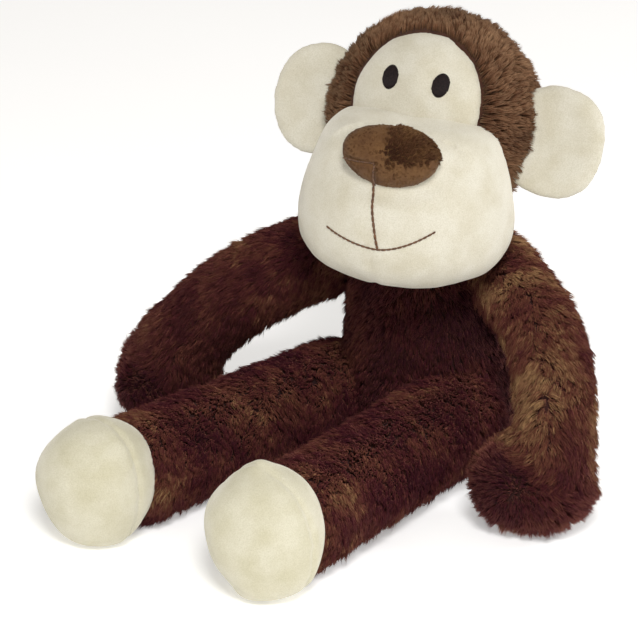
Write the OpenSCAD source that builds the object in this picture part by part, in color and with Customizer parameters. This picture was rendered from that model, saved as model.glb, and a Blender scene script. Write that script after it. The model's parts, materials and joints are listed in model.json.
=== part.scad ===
// Seated plush monkey with long jointed limbs.
// Every sewn cover is a pair of half panels around its own stuffing, and the
// limbs are strung together as balls in cups, so each one can flop as it should.
// +Z is up, the torso faces -Y, its left side is +X, and the seat is at the origin.
// All lengths are in millimetres, and all angles in degrees.

/* [Plush] */
// Thickness of a cover panel: backing cloth with its pile pressed down
cover = 3; // [2.5:0.5:3.5]
// Radius of the embroidery threads
thread_r = 0.9; // [0.7:0.1:1.1]

/* [Torso] */
// Height of the torso, from the seat to the neck seam
torso_height = 150; // [146:1:154]
// Widest radius of the torso
torso_r = 51; // [50:1:53]

/* [Head] */
// Radius of the head ball
head_r = 63; // [60:1:65]
// Turn of the head to its left
head_turn = 22; // [18:1:26]
// Tilt of the face upwards
head_up = 7.5; // [5:0.5:10]
// Lean of the head over its left shoulder
head_lean = 4; // [0:1:6]
// Widest radius of the muzzle, near the chin
muzzle_r = 63; // [60:1:65]
// Height of the muzzle, from the chin to the seam under the eyes
muzzle_height = 97; // [94:1:100]
// Radius of the nose's round ends
nose_r = 17.5; // [16:0.5:19]
// Radius of each ear's outline
ear_r = 35; // [30:1:36]
// Thickness of an ear at its middle
ear_thickness = 11; // [9:1:12]

/* [Arms] */
// Length of the upper arm, from shoulder to elbow
upper_arm_length = 74; // [70:1:78]
// Length of the forearm, from elbow to wrist
forearm_length = 55; // [52:1:58]
// Distance from the wrist to the middle of the hand
palm_length = 36; // [35:1:38]
// Widest radius of the arm
arm_r = 24.5; // [23:0.5:25]
// Radius of the hand
hand_r = 33; // [32:0.5:34]

/* [Legs] */
// Length of the thigh, from hip to knee
thigh_length = 94; // [88:1:100]
// Length of the shin, from knee to ankle
shin_length = 76; // [72:1:80]
// Distance from the ankle to the middle of the foot
heel_length = 30; // [29:1:31]
// Widest radius of the leg
leg_r = 31; // [30:0.5:31.5]
// Radius of the foot, seen from above
foot_r = 35.5; // [34:0.5:36]
// Height of the foot
foot_height = 80; // [76:1:82]

/* [Hidden] */
$fn = 64;

// Clearances: across a joint, and between a cover and what it holds
joint_gap = 0.4;
fill_gap = 0.3;
far = 400;

// Joint centres that lie on the torso
torso_axis = [2, 2, 0];
neck_at = [5, -6, 156];
left_shoulder = [46, 2, 121];
right_shoulder = [-46.6, -1, 121];
left_hip = [43, -28, 32.5];
right_hip = [-43, -36, 32.5];

// Limb balls, and the narrower necks beside them that give them room to turn
shoulder_ball_r = arm_r - 1;
elbow_ball_r = arm_r + 0.5;
wrist_ball_r = arm_r - 1;
shoulder_neck_r = arm_r - 6;
elbow_neck_r = arm_r - 5;
wrist_neck_r = arm_r - 6.5;
hip_ball_r = leg_r;
knee_ball_r = leg_r;
ankle_ball_r = leg_r - 4;
knee_neck_r = leg_r - 5.5;
ankle_neck_r = leg_r - 9;
neck_ball_r = 24;

// Rest directions of the limbs: heading from +X towards +Y, and drop below level.
// Each upper arm drops as far as brings its hand down to the floor.
left_arm_heading = [-22.6, -48.6, -106.7];
left_arm_bend = [40.7, 68];
right_arm_heading = [-124.4, -145, -155];
right_arm_bend = [41, 60];
left_leg_heading = -86.5;
right_leg_heading = -96.5;

// How far each hip swings: up towards the belly, and down to a hanging leg
hip_up = 15;
hip_down = 80;

function direction(heading, drop) =
    [cos(drop) * cos(heading), cos(drop) * sin(heading), -sin(drop)];
function reach(from, heading, drop, length) = from + length * direction(heading, drop);
function upper_arm_drop(bend) = asin(
    (left_shoulder.z - hand_r - forearm_length * sin(bend[0]) - palm_length * sin(bend[1]))
    / upper_arm_length);

left_arm_drop = [upper_arm_drop(left_arm_bend), left_arm_bend[0], left_arm_bend[1]];
right_arm_drop = [upper_arm_drop(right_arm_bend), right_arm_bend[0], right_arm_bend[1]];
left_elbow = reach(left_shoulder, left_arm_heading[0], left_arm_drop[0], upper_arm_length);
right_elbow = reach(right_shoulder, right_arm_heading[0], right_arm_drop[0], upper_arm_length);
left_wrist = reach(left_elbow, left_arm_heading[1], left_arm_drop[1], forearm_length);
right_wrist = reach(right_elbow, right_arm_heading[1], right_arm_drop[1], forearm_length);
left_knee = reach(left_hip, left_leg_heading, 0, thigh_length);
right_knee = reach(right_hip, right_leg_heading, 0, thigh_length);
left_ankle = reach(left_knee, left_leg_heading, 0, shin_length);
right_ankle = reach(right_knee, right_leg_heading, 0, shin_length);

// The head's own frame: its centre at the origin, face towards -Y, its left at +X
neck_below_head = [0, 12, -head_r + 5];

// Muzzle: a round bag that is wider at the chin, leaning forward at the top
muzzle_base = [0, -42, -83];
muzzle_tilt = 6;
chin_round = 30;
brow_round = 24;
brow_r = muzzle_r - 9;
throat_at = [0, 26, -78];
throat_r = 74;

// Nose, eyes and mouth, placed on the muzzle and the face
nose_half = 13;
nose_at = [0.5, -103, -5];
eye_out = 15.5;
eye_up = 30.5;
eye_r = 5.2;
eye_half = 1.9;
eye_thickness = 0.8;

// The smile is an arc of a circle in a plane that rises towards the cheeks
smile_at = [-1, 30.5];
smile_r = 45;
smile_rise = 49;
smile_spread = 95;
philtrum_length = 32;
philtrum_lean = -9;

// Ears: hinged on an upright seam just outside the head
ear_hinge = [head_r + 3.5, -6, -2];
ear_middle = head_r + 8.5;
ear_root = head_r + 6;
ear_rim = 1.6;
ear_tab = 1.6;
ear_tab_half = 20;

// The cream face is a round window in the hood, above the muzzle
window_r = 38;
window_up = 18;

// Colours: long dark pile, the head's lighter pile, cream velour, and what is inside
dark_plush = [0.24, 0.15, 0.11];
hood_plush = [0.36, 0.25, 0.18];
cream = [0.90, 0.86, 0.74];
nose_brown = [0.40, 0.27, 0.18];
thread_brown = [0.35, 0.24, 0.14];
eye_black = [0.10, 0.07, 0.08];
wadding = [0.95, 0.95, 0.93];

// ---------------------------------------------------------------- shared shapes

// Points a shape that lies along +Z down a limb
module aim(from, heading, drop)
    translate(from) rotate([0, 90 + drop, heading]) children();

// The half of space on one side of the plane x = 0, y = 0 or z = 0 of a frame
module half_space(axis, side)
    translate([for (i = [0:2]) i == axis ? (side > 0 ? 0 : -far) : -far / 2])
        cube([for (i = [0:2]) far]);

// Points along an arc, for outlines
function arc(middle, r, from, to, steps) = [for (i = [0:steps])
    middle + r * [cos(from + (to - from) * i / steps), sin(from + (to - from) * i / steps)]];

// Half of a disc beside the axis, for turning into a ball
module half_disc(r, at)
    translate([0, at]) intersection() {
        circle(r);
        translate([0, -r]) square([r, 2 * r]);
    }

// A limb's outline beside its own axis. Its root is a ball or a cup around the joint
// before it, and its tip is the next joint's ball, each with a narrower neck.
module limb_outline(length, width, root_ball, root_cup, root_neck, tip_ball, tip_neck, inset) {
    root = 0.9 * (root_ball + root_cup);
    middle = (root + length - 0.9 * tip_ball) / 2;
    difference() {
        union() {
            polygon([
                [0, 0], [root_neck - inset, 0], [root_neck - inset, 0.4 * root],
                [width - inset, min(root + 0.16 * length, middle - 1)],
                [width - inset, max(0.84 * length - tip_ball, middle + 1)],
                [tip_neck - inset, length - 0.55 * tip_ball],
                [tip_neck - inset, length], [0, length]
            ]);
            if (root_ball) half_disc(root_ball - inset, 0);
            half_disc(tip_ball - inset, length);
        }
        if (root_cup) half_disc(root_cup + joint_gap + inset, 0);
    }
}

module upper_arm_outline(inset)
    limb_outline(upper_arm_length, arm_r, shoulder_ball_r, 0, shoulder_neck_r,
                 elbow_ball_r, elbow_neck_r, inset);

module forearm_outline(inset)
    limb_outline(forearm_length, arm_r, 0, elbow_ball_r, elbow_neck_r,
                 wrist_ball_r, wrist_neck_r, inset);

module thigh_outline(inset)
    limb_outline(thigh_length, leg_r, hip_ball_r, 0, hip_ball_r - 0.5,
                 knee_ball_r, knee_neck_r, inset);

module shin_outline(inset)
    limb_outline(shin_length, leg_r, 0, knee_ball_r, knee_neck_r,
                 ankle_ball_r, ankle_neck_r, inset);

module hand_outline(inset)
    difference() {
        half_disc(hand_r - inset, palm_length);
        half_disc(wrist_ball_r + joint_gap + inset, 0);
    }

// One of the two panels that a turned outline is sewn from. The first child is
// the cover's outside and the second its inside.
module turned_panel(side)
    rotate([0, 0, side > 0 ? 0 : 180]) rotate_extrude(angle = 180) difference() {
        children(0);
        children(1);
    }

// ---------------------------------------------------------------- torso and neck

module torso_outline(inset)
    polygon([
        [0, inset], [36 - inset, inset], [torso_r - 4 - inset, 12],
        [torso_r - inset, 34], [torso_r - inset, torso_height - 66],
        [torso_r - 8 - inset, torso_height - 36], [torso_r - 17 - inset, torso_height - 12],
        [neck_ball_r + 2 - inset, torso_height - inset], [0, torso_height - inset]
    ]);

// The room a thigh needs from its highest to its lowest position
module leg_well(hip, heading, room) {
    r = hip_ball_r + joint_gap + room;
    steps = 8;
    corner_r = r / cos((hip_up + hip_down) / steps / 2);
    translate(hip) rotate([0, 0, heading]) rotate([90, 0, 0])
        linear_extrude(2 * r, center = true) polygon(concat(
            [for (i = [0:steps])
                let (turn = 90 + hip_up + (270 - hip_down - 90 - hip_up) * i / steps)
                corner_r * [cos(turn), sin(turn)]],
            [far * [cos(hip_down), -sin(hip_down)] + r * [-sin(hip_down), -cos(hip_down)],
             far * [1, 0],
             far * [cos(hip_up), sin(hip_up)] + r * [-sin(hip_up), cos(hip_up)]]));
}

module torso_room(room) {
    for (at = [left_shoulder, right_shoulder])
        translate(at) sphere(shoulder_ball_r + joint_gap + room);
    leg_well(left_hip, left_leg_heading, room);
    leg_well(right_hip, right_leg_heading, room);
}

module torso_panel(side)
    color(dark_plush) difference() {
        translate(torso_axis) turned_panel(side) {
            torso_outline(0);
            torso_outline(cover);
        }
        torso_room(0);
    }

module torso_stuffing()
    color(wadding) difference() {
        translate(torso_axis) rotate_extrude() torso_outline(cover + fill_gap);
        torso_room(cover);
    }

// The neck turns on the torso's top, and the head nods on its dome
module neck_outline(inset)
    union() {
        half_disc(neck_ball_r - inset, 0);
        translate([0, torso_height + joint_gap + inset - neck_at.z])
            square([neck_ball_r - inset, neck_at.z - torso_height - joint_gap - inset]);
    }

module neck_section(inset)
    intersection() {
        neck_outline(inset);
        translate([0, torso_height + joint_gap + inset - neck_at.z]) square(neck_ball_r * 2);
    }

module neck_sleeve()
    color(dark_plush) translate(neck_at) rotate_extrude() difference() {
        neck_section(0);
        translate([0, -neck_ball_r]) square([neck_ball_r - cover, neck_ball_r + 6]);
    }

module neck_stuffing()
    color(wadding) translate(neck_at) rotate_extrude() intersection() {
        neck_section(0);
        translate([0, -neck_ball_r])
            square([neck_ball_r - cover - fill_gap, neck_ball_r + 6 - fill_gap]);
    }

// ---------------------------------------------------------------- head

// Puts a shape made in the head's own frame in its place
module in_head()
    translate(neck_at) rotate([0, 0, head_turn]) rotate([-head_up, 0, 0])
        rotate([0, head_lean, 0]) translate(-neck_below_head) children();

module neck_socket(room)
    translate(neck_below_head) side_ball(neck_ball_r + joint_gap + room);

// A ball whose poles lie to the sides, clear of the seam down the head's middle
module side_ball(r)
    rotate([0, 90, 0]) sphere(r);

module face_window(gap)
    translate([0, 0, window_up]) rotate([90, 0, 0]) cylinder(r = window_r + gap, h = far);

module hood_panel(side)
    color(hood_plush) in_head() difference() {
        rotate([0, 90 * side, 0]) rotate_extrude()
            polygon(concat(arc([0, 0], head_r, 0, 90, 12), arc([0, 0], head_r - cover, 90, 0, 12)));
        face_window(0.2);
        neck_socket(0);
    }

module face_panel()
    color(cream) in_head() intersection() {
        difference() {
            sphere(head_r);
            sphere(head_r - cover);
        }
        face_window(0);
    }

module head_stuffing()
    color(wadding) in_head() difference() {
        sphere(head_r - cover - fill_gap);
        neck_socket(cover);
    }

module muzzle_outline(inset) {
    chin = [muzzle_r - chin_round, chin_round];
    brow = [brow_r - brow_round, muzzle_height - brow_round];
    between = brow - chin;
    lean = atan2(between.y, between.x) - acos((chin_round - brow_round) / norm(between));
    polygon(concat(
        [[0, inset]],
        arc(chin, chin_round - inset, -90, lean, 7),
        arc(brow, brow_round - inset, lean, 90, 6),
        [[0, muzzle_height - inset]]
    ));
}

module at_muzzle()
    translate(muzzle_base) rotate([muzzle_tilt, 0, 0]) children();

// What the muzzle is cut back from: the head ball, and the room the throat needs
module behind_muzzle(room) {
    side_ball(head_r + 0.2 + room);
    translate(throat_at) side_ball(throat_r + room);
}

module muzzle_panel(side)
    color(cream) in_head() difference() {
        at_muzzle() rotate([0, 0, -90]) turned_panel(side) {
            muzzle_outline(0);
            muzzle_outline(cover);
        }
        behind_muzzle(0);
    }

module muzzle_stuffing()
    color(wadding) in_head() difference() {
        at_muzzle() rotate([0, 0, -90]) rotate_extrude() muzzle_outline(cover + fill_gap);
        behind_muzzle(0);
    }

// The nose is a capsule lying across the muzzle's front
module nose_body(inset)
    translate(nose_at) rotate([0, 90, 0]) rotate_extrude() {
        for (side = [-1, 1]) half_disc(nose_r - inset, side * nose_half);
        translate([0, -nose_half]) square([nose_r - inset, 2 * nose_half]);
    }

module nose_part(outside, inside)
    in_head() difference() {
        nose_body(outside);
        if (inside) nose_body(inside);
        at_muzzle() rotate_extrude() muzzle_outline(-0.2);
    }

module nose_cover() color(nose_brown) nose_part(0, 2);
module nose_padding() color(wadding) nose_part(2 + fill_gap, 0);

module eye(side)
    color(eye_black) in_head() intersection() {
        difference() {
            sphere(head_r + eye_thickness);
            sphere(head_r + 0.02);
        }
        translate([side * eye_out, 0, eye_up]) rotate([90, 0, 0]) linear_extrude(far) {
            for (end = [-1, 1]) translate([0, end * eye_half]) circle(eye_r);
            square([2 * eye_r, 2 * eye_half], center = true);
        }
    }

// Puts the smile's middle on the muzzle's front
module at_smile()
    at_muzzle() rotate([0, 0, smile_at[0]]) translate([0, thread_r / 2 - muzzle_r, smile_at[1]])
        children();

module mouth_stitch()
    color(thread_brown) in_head() at_smile()
        rotate([smile_rise, 0, 0]) translate([0, smile_r, 0])
            rotate([0, 0, -90 - smile_spread / 2]) rotate_extrude(angle = smile_spread)
                translate([smile_r, 0]) circle(thread_r);

module philtrum_stitch()
    color(thread_brown) in_head() at_smile()
        rotate([-9, philtrum_lean, 0]) translate([0, 0, 2 * thread_r])
            cylinder(r = thread_r, h = philtrum_length);

// ---------------------------------------------------------------- ears

// A thin lens in the XZ plane, round, with its middle at the ear's middle
module ear_lens(thickness, r)
    translate([ear_middle, ear_hinge.y, ear_hinge.z]) rotate([90, 0, 0]) rotate_extrude()
        intersection() {
            bulge = (r * r + pow((thickness - ear_rim) / 2, 2)) / (thickness - ear_rim);
            translate([0, -thickness]) square([r, 2 * thickness]);
            translate([0, thickness / 2 - bulge]) circle(bulge, $fn = 200);
            translate([0, bulge - thickness / 2]) circle(bulge, $fn = 200);
        }

module ear_shape(inset)
    intersection() {
        ear_lens(ear_thickness - 2 * inset, ear_r - inset);
        translate([ear_root + inset, 0, 0]) half_space(0, 1);
    }

module in_ear(side)
    in_head() mirror([side > 0 ? 0 : 1, 0, 0]) children();

ear_cloth = 1.8;
module ear_panel(side, face)
    color(cream) in_ear(side) union() {
        intersection() {
            difference() {
                ear_shape(0);
                ear_shape(ear_cloth);
            }
            translate([0, ear_hinge.y, 0]) half_space(1, face);
        }
        if (face > 0) translate([head_r + 0.4, ear_hinge.y, ear_hinge.z - ear_tab_half])
            cube([ear_root - head_r + 1.2, ear_tab, 2 * ear_tab_half]);
    }

module ear_padding(side)
    color(wadding) in_ear(side) ear_shape(ear_cloth + fill_gap);

// ---------------------------------------------------------------- limbs

// A limb piece in its place: part 1 or -1 is a panel, and part 0 the stuffing.
// The children are its outline at the cover's outside, inside and at the stuffing.
module limb_piece(from, heading, drop, part)
    color(part == 0 ? wadding : dark_plush) aim(from, heading, drop)
        if (part == 0) rotate_extrude() children(2);
        else turned_panel(part) { children(0); children(1); }

module upper_arm(from, heading, drop, part)
    limb_piece(from, heading, drop, part) {
        upper_arm_outline(0);
        upper_arm_outline(cover);
        upper_arm_outline(cover + fill_gap);
    }

module forearm(from, heading, drop, part)
    limb_piece(from, heading, drop, part) {
        forearm_outline(0);
        forearm_outline(cover);
        forearm_outline(cover + fill_gap);
    }

module hand(from, heading, drop, part)
    limb_piece(from, heading, drop, part) {
        hand_outline(0);
        hand_outline(cover);
        hand_outline(cover + fill_gap);
    }

module thigh(from, heading, part)
    limb_piece(from, heading, 0, part) {
        thigh_outline(0);
        thigh_outline(cover);
        thigh_outline(cover + fill_gap);
    }

module shin(from, heading, part)
    limb_piece(from, heading, 0, part) {
        shin_outline(0);
        shin_outline(cover);
        shin_outline(cover + fill_gap);
    }

module left_upper_arm(part) upper_arm(left_shoulder, left_arm_heading[0], left_arm_drop[0], part);
module left_forearm(part) forearm(left_elbow, left_arm_heading[1], left_arm_drop[1], part);
module left_hand(part) hand(left_wrist, left_arm_heading[2], left_arm_drop[2], part);
module right_upper_arm(part) upper_arm(right_shoulder, right_arm_heading[0], right_arm_drop[0], part);
module right_forearm(part) forearm(right_elbow, right_arm_heading[1], right_arm_drop[1], part);
module right_hand(part) hand(right_wrist, right_arm_heading[2], right_arm_drop[2], part);
module left_thigh(part) thigh(left_hip, left_leg_heading, part);
module left_shin(part) shin(left_knee, left_leg_heading, part);
module right_thigh(part) thigh(right_hip, right_leg_heading, part);
module right_shin(part) shin(right_knee, right_leg_heading, part);

// The foot is an upright rounded drum that stands on the floor
module foot_outline(inset)
    difference() {
        union() {
            half_disc(foot_r - inset, foot_r);
            half_disc(foot_r - inset, foot_height - foot_r);
            translate([0, foot_r]) square([foot_r - inset, foot_height - 2 * foot_r]);
        }
        square([far, inset + 0.5]);
    }

module foot_middle(ankle, heading)
    translate(ankle + [heel_length * cos(heading), heel_length * sin(heading), -ankle.z])
        rotate([0, 0, heading]) children();

// Side 1 is the sole and -1 the panel around the ankle
module foot_panel(ankle, heading, side)
    color(cream) difference() {
        foot_middle(ankle, heading) rotate([0, 0, -90]) turned_panel(side) {
            foot_outline(0);
            foot_outline(cover);
        }
        translate(ankle) sphere(ankle_ball_r + joint_gap);
    }

module foot_stuffing(ankle, heading)
    color(wadding) difference() {
        foot_middle(ankle, heading) rotate_extrude() foot_outline(cover + fill_gap);
        translate(ankle) sphere(ankle_ball_r + joint_gap + cover);
    }

// ---------------------------------------------------------------- nodes

torso_panel(-1);  // torso_front_panel
torso_panel(1);  // torso_back_panel
torso_stuffing();
neck_sleeve();
neck_stuffing();

hood_panel(1);  // hood_left_panel
hood_panel(-1);  // hood_right_panel
face_panel();
head_stuffing();
muzzle_panel(1);  // muzzle_left_panel
muzzle_panel(-1);  // muzzle_right_panel
muzzle_stuffing();
nose_cover();
nose_padding();
eye(1);  // left_eye
eye(-1);  // right_eye
mouth_stitch();
philtrum_stitch();

ear_panel(1, -1);  // left_ear_front_panel
ear_panel(1, 1);  // left_ear_back_panel
ear_padding(1);  // left_ear_padding
ear_panel(-1, -1);  // right_ear_front_panel
ear_panel(-1, 1);  // right_ear_back_panel
ear_padding(-1);  // right_ear_padding

left_upper_arm(-1);  // left_upper_arm_front_panel
left_upper_arm(1);  // left_upper_arm_back_panel
left_upper_arm(0);  // left_upper_arm_stuffing
left_forearm(-1);  // left_forearm_front_panel
left_forearm(1);  // left_forearm_back_panel
left_forearm(0);  // left_forearm_stuffing
left_hand(-1);  // left_hand_front_panel
left_hand(1);  // left_hand_back_panel
left_hand(0);  // left_hand_stuffing

right_upper_arm(1);  // right_upper_arm_front_panel
right_upper_arm(-1);  // right_upper_arm_back_panel
right_upper_arm(0);  // right_upper_arm_stuffing
right_forearm(1);  // right_forearm_front_panel
right_forearm(-1);  // right_forearm_back_panel
right_forearm(0);  // right_forearm_stuffing
right_hand(1);  // right_hand_front_panel
right_hand(-1);  // right_hand_back_panel
right_hand(0);  // right_hand_stuffing

left_thigh(1);  // left_thigh_outer_panel
left_thigh(-1);  // left_thigh_inner_panel
left_thigh(0);  // left_thigh_stuffing
left_shin(1);  // left_shin_outer_panel
left_shin(-1);  // left_shin_inner_panel
left_shin(0);  // left_shin_stuffing
foot_panel(left_ankle, left_leg_heading, 1);  // left_foot_sole_panel
foot_panel(left_ankle, left_leg_heading, -1);  // left_foot_ankle_panel
foot_stuffing(left_ankle, left_leg_heading);  // left_foot_stuffing

right_thigh(-1);  // right_thigh_outer_panel
right_thigh(1);  // right_thigh_inner_panel
right_thigh(0);  // right_thigh_stuffing
right_shin(-1);  // right_shin_outer_panel
right_shin(1);  // right_shin_inner_panel
right_shin(0);  // right_shin_stuffing
foot_panel(right_ankle, right_leg_heading, 1);  // right_foot_sole_panel
foot_panel(right_ankle, right_leg_heading, -1);  // right_foot_ankle_panel
foot_stuffing(right_ankle, right_leg_heading);  // right_foot_stuffing
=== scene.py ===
"""A seated plush monkey: soft covers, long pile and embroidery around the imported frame."""

import json
import math

import bmesh
import bpy
import numpy as np
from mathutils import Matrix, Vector, noise
from mathutils.bvhtree import BVHTree
from mathutils.kdtree import KDTree


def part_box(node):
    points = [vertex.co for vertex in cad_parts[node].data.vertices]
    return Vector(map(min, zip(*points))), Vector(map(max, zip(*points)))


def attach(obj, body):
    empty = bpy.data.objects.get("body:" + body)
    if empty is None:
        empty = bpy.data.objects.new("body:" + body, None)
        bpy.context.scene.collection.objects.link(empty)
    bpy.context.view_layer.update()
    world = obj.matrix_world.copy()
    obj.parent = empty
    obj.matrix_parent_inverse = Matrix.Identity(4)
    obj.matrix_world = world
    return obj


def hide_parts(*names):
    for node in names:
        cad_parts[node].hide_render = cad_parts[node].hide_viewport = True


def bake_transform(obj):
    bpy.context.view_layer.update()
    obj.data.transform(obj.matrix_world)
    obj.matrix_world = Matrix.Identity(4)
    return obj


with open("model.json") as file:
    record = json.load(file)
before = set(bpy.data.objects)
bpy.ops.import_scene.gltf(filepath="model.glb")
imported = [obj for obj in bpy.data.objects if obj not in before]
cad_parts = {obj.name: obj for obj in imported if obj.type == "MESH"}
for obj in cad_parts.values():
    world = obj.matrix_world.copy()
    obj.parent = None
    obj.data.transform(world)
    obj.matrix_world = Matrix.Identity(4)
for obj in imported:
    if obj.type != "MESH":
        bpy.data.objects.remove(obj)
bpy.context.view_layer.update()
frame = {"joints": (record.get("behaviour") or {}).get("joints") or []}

# Lengths below are millimetres. Meshes are made in metres, by this factor.
MM = 0.001

# Without a seed of its own, noise_vector starts from the clock
noise.seed_set(1)


# ---------------------------------------------------------------- numbers and vectors

def unit(v):
    """Rows of v, or v itself, scaled to length 1."""
    v = np.asarray(v, float)
    return v / np.maximum(np.linalg.norm(v, axis=-1, keepdims=True), 1e-9)


def bell(x, width):
    """1 where x is 0, and a smooth fall to almost nothing at twice the width."""
    return np.exp(-(x / width) ** 2)


def smoothstep(x, low, high):
    """0 at low, 1 at high, and an S-shaped rise between them."""
    t = np.clip((np.asarray(x, float) - low) / (high - low), 0, 1)
    return t * t * (3 - 2 * t)


def flatten_along(v, n):
    """The part of each v that lies in the surface whose normal is n."""
    return v - n * np.sum(v * n, axis=-1, keepdims=True)


def cloud(points, size, seed=0):
    """Smooth noise from about -1 to 1 at each point, with features of about this size."""
    shift = Vector((seed * 7.31, seed * 3.17, seed * 5.53))
    return np.array([noise.noise(Vector(p) / size + shift) for p in points])


def cloud_vectors(points, size, seed=0):
    """The same with a vector at each point."""
    shift = Vector((seed * 7.31, seed * 3.17, seed * 5.53))
    return np.array([noise.noise_vector(Vector(p) / size + shift) for p in points])


# ---------------------------------------------------------------- places, from the record

JOINTS = {j["name"]: j for j in frame["joints"]}


def pivot(name):
    """A joint's centre, in millimetres."""
    return np.array(JOINTS[name]["pos_m"], float) / MM


def box_middle(*nodes):
    """The middle of the box round these CAD nodes, in millimetres."""
    corners = np.array([[list(c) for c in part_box(n)] for n in nodes]) / MM
    return (corners[:, 0].min(0) + corners[:, 1].max(0)) / 2


# The head's own frame: x to its left, y to the back of its head, z up
EAR_HINGE = np.array([66.5, -6.0, -2.0])
left_hinge, right_hinge = pivot("left_ear_fold"), pivot("right_ear_fold")
head_x = unit(left_hinge - right_hinge)
head_z = unit(np.array(JOINTS["left_ear_fold"]["axis"], float))
head_y = unit(np.cross(head_z, head_x))
HEAD = np.stack([head_x, head_y, head_z], axis=1)
HEAD_AT = (left_hinge + right_hinge) / 2 - HEAD @ np.array([0, EAR_HINGE[1], EAR_HINGE[2]])


def in_head(points):
    """From the head's own frame to the row's frame."""
    return HEAD_AT + np.asarray(points, float) @ HEAD.T


def to_head(points):
    return (np.asarray(points, float) - HEAD_AT) @ HEAD


# ---------------------------------------------------------------- camera and light

def add_object(name, data, place=(0, 0, 0), aim=None):
    """An object in the scene, turned to look at aim where that is given."""
    obj = bpy.data.objects.new(name, data)
    bpy.context.scene.collection.objects.link(obj)
    if aim is not None:
        obj.location = place
        obj.rotation_mode = "QUATERNION"
        obj.rotation_quaternion = (Vector(aim) - Vector(place)).to_track_quat("-Z", "Y")
    return obj


VIEW_AZIMUTH = math.radians(37.5)
VIEW_ELEVATION = math.radians(22)
CAMERA_DISTANCE = 2.0
VIEW_WIDTH = 0.3827
LIT_AT = (0, -0.1, 0.12)
back = Vector((
    math.sin(VIEW_AZIMUTH) * math.cos(VIEW_ELEVATION),
    -math.cos(VIEW_AZIMUTH) * math.cos(VIEW_ELEVATION),
    math.sin(VIEW_ELEVATION),
))
right = Vector((math.cos(VIEW_AZIMUTH), math.sin(VIEW_AZIMUTH), 0))
up = back.cross(right)
look_near = Vector((0, -0.060, 0.110))
look_at = look_near - right * 0.0288 - up * 0.0114

camera_data = bpy.data.cameras.new("camera")
camera_data.sensor_width = 36
camera_data.lens = 36 * CAMERA_DISTANCE / VIEW_WIDTH
camera_data.clip_start = 0.05
camera_data.clip_end = 50
camera = add_object("camera", camera_data, look_near + back * CAMERA_DISTANCE, look_at)
bpy.context.scene.camera = camera


def area_light(name, place, size, power, tint=(1, 1, 1)):
    data = bpy.data.lights.new(name, "AREA")
    data.shape = "DISK"
    data.size = size
    data.energy = power
    data.color = tint
    add_object(name, data, place, LIT_AT)


area_light("key_light", (1.2, -1.4, 1.75), 0.7, 44, (1, 0.99, 0.98))
area_light("fill_light", (-1.0, -2.2, 1.0), 1.2, 2.5)
area_light("back_light", (1.5, 1.2, 1.1), 0.9, 16)

world = bpy.data.worlds.new("studio")
world.use_nodes = True
world.node_tree.nodes["Background"].inputs["Color"].default_value = (1, 0.95, 0.87, 1)
world.node_tree.nodes["Background"].inputs["Strength"].default_value = 0.31
bpy.context.scene.world = world
bpy.context.scene.view_settings.view_transform = "Standard"


# ---------------------------------------------------------------- materials

def srgb(r, g, b):
    """An 8-bit screen colour as a linear one."""
    return tuple(((c / 255 + 0.055) / 1.055) ** 2.4 if c > 10 else c / 255 / 12.92
                 for c in (r, g, b)) + (1.0,)


class Material:
    """A Principled material and short ways to add nodes to it."""

    def __init__(self, name, roughness=0.85, sheen=0.3, sheen_tint=(1, 1, 1, 1), specular=0.25):
        self.material = bpy.data.materials.new(name)
        self.material.use_nodes = True
        self.tree = self.material.node_tree
        self.shader = self.tree.nodes["Principled BSDF"]
        self.shader.inputs["Roughness"].default_value = roughness
        self.shader.inputs["Sheen Weight"].default_value = sheen
        self.shader.inputs["Sheen Roughness"].default_value = 0.5
        self.shader.inputs["Sheen Tint"].default_value = sheen_tint
        self.shader.inputs["Specular IOR Level"].default_value = specular

    def node(self, kind, **inputs):
        made = self.tree.nodes.new(kind)
        for key, value in inputs.items():
            key = key.replace("_", " ")
            if isinstance(value, bpy.types.NodeSocket):
                self.tree.links.new(value, made.inputs[key])
            else:
                made.inputs[key].default_value = value
        return made

    def ramp(self, factor, stops):
        made = self.tree.nodes.new("ShaderNodeValToRGB")
        self.tree.links.new(factor, made.inputs["Fac"])
        elements = made.color_ramp.elements
        while len(elements) < len(stops):
            elements.new(0.5)
        for element, (place, colour) in zip(elements, stops):
            element.position = place
            element.color = colour
        return made.outputs["Color"]

    def multiply(self, a, b):
        made = self.tree.nodes.new("ShaderNodeMix")
        made.data_type = "RGBA"
        made.blend_type = "MULTIPLY"
        made.inputs[0].default_value = 1
        self.tree.links.new(a, made.inputs[6])
        self.tree.links.new(b, made.inputs[7])
        return made.outputs[2]

    def place(self):
        """The point in the piece's own frame, which moves with the piece."""
        return self.tree.nodes.new("ShaderNodeTexCoord").outputs["Object"]

    def noise(self, scale, detail=3.0, rough=0.5):
        made = self.node("ShaderNodeTexNoise", Vector=self.place(), Scale=scale, Detail=detail,
                         Roughness=rough)
        return made.outputs["Fac"]

    def bump(self, height, strength, distance):
        made = self.node("ShaderNodeBump", Height=height, Strength=strength, Distance=distance)
        self.tree.links.new(made.outputs["Normal"], self.shader.inputs["Normal"])

    def colour(self, socket):
        self.tree.links.new(socket, self.shader.inputs["Base Color"])


FUR_UV = "OFBake"


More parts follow.
